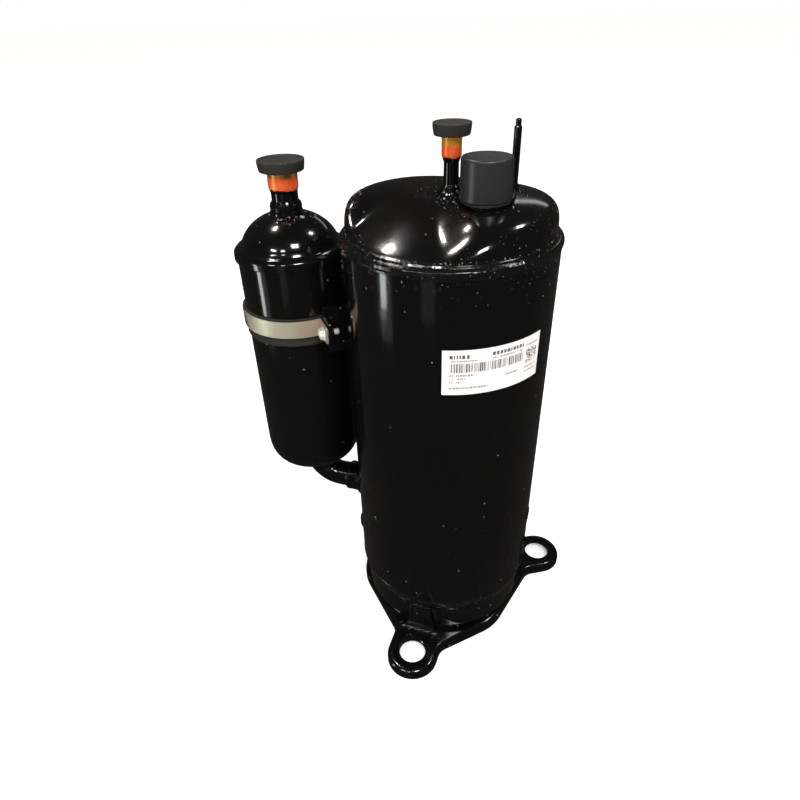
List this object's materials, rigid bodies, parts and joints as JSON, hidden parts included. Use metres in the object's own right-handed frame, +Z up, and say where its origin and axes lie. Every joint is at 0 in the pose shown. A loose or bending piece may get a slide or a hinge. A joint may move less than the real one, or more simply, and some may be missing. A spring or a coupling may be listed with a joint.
{
  "type": "rotary refrigeration compressor",
  "caption": "Upright hermetic rotary compressor for refrigerant, with a welded steel shell on a footed base plate, a suction accumulator clamped to its side, and its pump and motor inside.",
  "frame": {"origin": "on the shell's axis, in the plane of the feet's undersides", "axes": "+Z up along the shell's axis, -Y towards the front foot, -X towards the accumulator"},
  "size_m": [0.2669, 0.1905, 0.403],
  "materials": {
    "black_paint": "gloss black enamel with orange peel and dust specks",
    "copper": "drawn copper, bare at the flared mouth, heat tinted, black enamel lower down",
    "black_rubber": "matte moulded rubber",
    "cover_plastic": "satin moulded plastic, dark grey",
    "strap_steel": "rolled strip, faint olive cast, fine lengthwise scratches",
    "zinc_plate": "bright zinc plate",
    "label_paper": "white self-adhesive label, satin",
    "ground_steel": "ground steel with a film of oil",
    "cast_iron": "machined grey iron, phosphated",
    "lamination_steel": "stacked electrical sheet",
    "winding_copper": "varnished copper wire",
    "aluminium": "die-cast aluminium",
    "brass": "turned brass",
    "insulation": "cream insulation"
  },
  "bodies": {
    "shell": {"base_plate": "black_paint", "bottom_cap": "black_paint", "shell_tube": "black_paint", "top_cap": "black_paint", "discharge_tube": "copper", "process_tube": "black_paint", "terminal_header": "ground_steel", "terminal_pin_1": "ground_steel", "terminal_pin_2": "ground_steel", "terminal_pin_3": "ground_steel", "terminal_gasket": "black_rubber", "terminal_connector": "insulation", "accumulator_can": "black_paint", "accumulator_dome": "black_paint", "accumulator_inlet_tube": "copper", "accumulator_strainer": "aluminium", "suction_elbow": "black_paint", "suction_collar": "black_paint", "clamp_pad": "black_rubber", "clamp_band": "strap_steel", "accumulator_bracket": "black_paint", "clamp_screw": "zinc_plate", "clamp_nut": "zinc_plate", "nameplate": "label_paper", "pump_cylinder": "cast_iron", "main_bearing": "cast_iron", "sub_bearing": "cast_iron", "pump_bolt_1": "ground_steel", "pump_bolt_2": "ground_steel", "pump_bolt_3": "ground_steel", "pump_bolt_4": "ground_steel", "vane_spring": "ground_steel", "valve_stop": "ground_steel", "valve_rivet": "ground_steel", "discharge_muffler": "lamination_steel", "stator_core": "lamination_steel", "winding_upper": "winding_copper", "winding_lower": "winding_copper", "motor_lead_1": "insulation", "motor_lead_2": "insulation", "motor_lead_3": "insulation"},
    "crankshaft": {"crankshaft": "ground_steel", "oil_paddle": "ground_steel", "rotor_core": "lamination_steel", "rotor_ring_upper": "aluminium", "rotor_ring_lower": "aluminium", "balance_weight_upper": "brass", "balance_weight_lower": "brass"},
    "roller": {"roller": "ground_steel"},
    "vane": {"vane": "ground_steel"},
    "discharge_reed": {"discharge_reed": "ground_steel"},
    "terminal_cover": {"terminal_cover": "cover_plastic"},
    "suction_plug": {"suction_plug": "black_rubber"},
    "discharge_plug": {"discharge_plug": "black_rubber"}
  },
  "joints": [
    {"name": "crank_spin", "type": "hinge", "parent": "shell", "child": "crankshaft", "pos_m": [0, 0, 0.096], "axis": [0, 0, 1], "continuous": true},
    {"name": "roller_spin", "type": "hinge", "parent": "crankshaft", "child": "roller", "pos_m": [0.0033, 0.0044, 0.096], "axis": [0, 0, 1], "continuous": true},
    {"name": "vane_slide", "type": "slide", "parent": "shell", "child": "vane", "axis": [0.8, -0.6, 0], "range_m": [0, 0.0052], "stiffness_N_per_m": 300, "deforming": ["vane_spring"]},
    {"name": "discharge_reed_lift", "type": "hinge", "parent": "shell", "child": "discharge_reed", "pos_m": [0.018, 0.0215, 0.12085], "axis": [0, 1, 0], "range_deg": [0, 4], "stiffness_Nm_per_rad": 0.02},
    {"name": "terminal_cover_lift", "type": "slide", "parent": "shell", "child": "terminal_cover", "axis": [0, 0, 1], "range_m": [0, 0.03]},
    {"name": "suction_plug_pull", "type": "slide", "parent": "shell", "child": "suction_plug", "axis": [0, 0, 1], "range_m": [0, 0.025]},
    {"name": "discharge_plug_pull", "type": "slide", "parent": "shell", "child": "discharge_plug", "axis": [0, 0, 1], "range_m": [0, 0.025]}
  ],
  "couplings": [
    {"joint": "roller_spin", "follows": "crank_spin", "ratio": -1.2676}
  ]
}
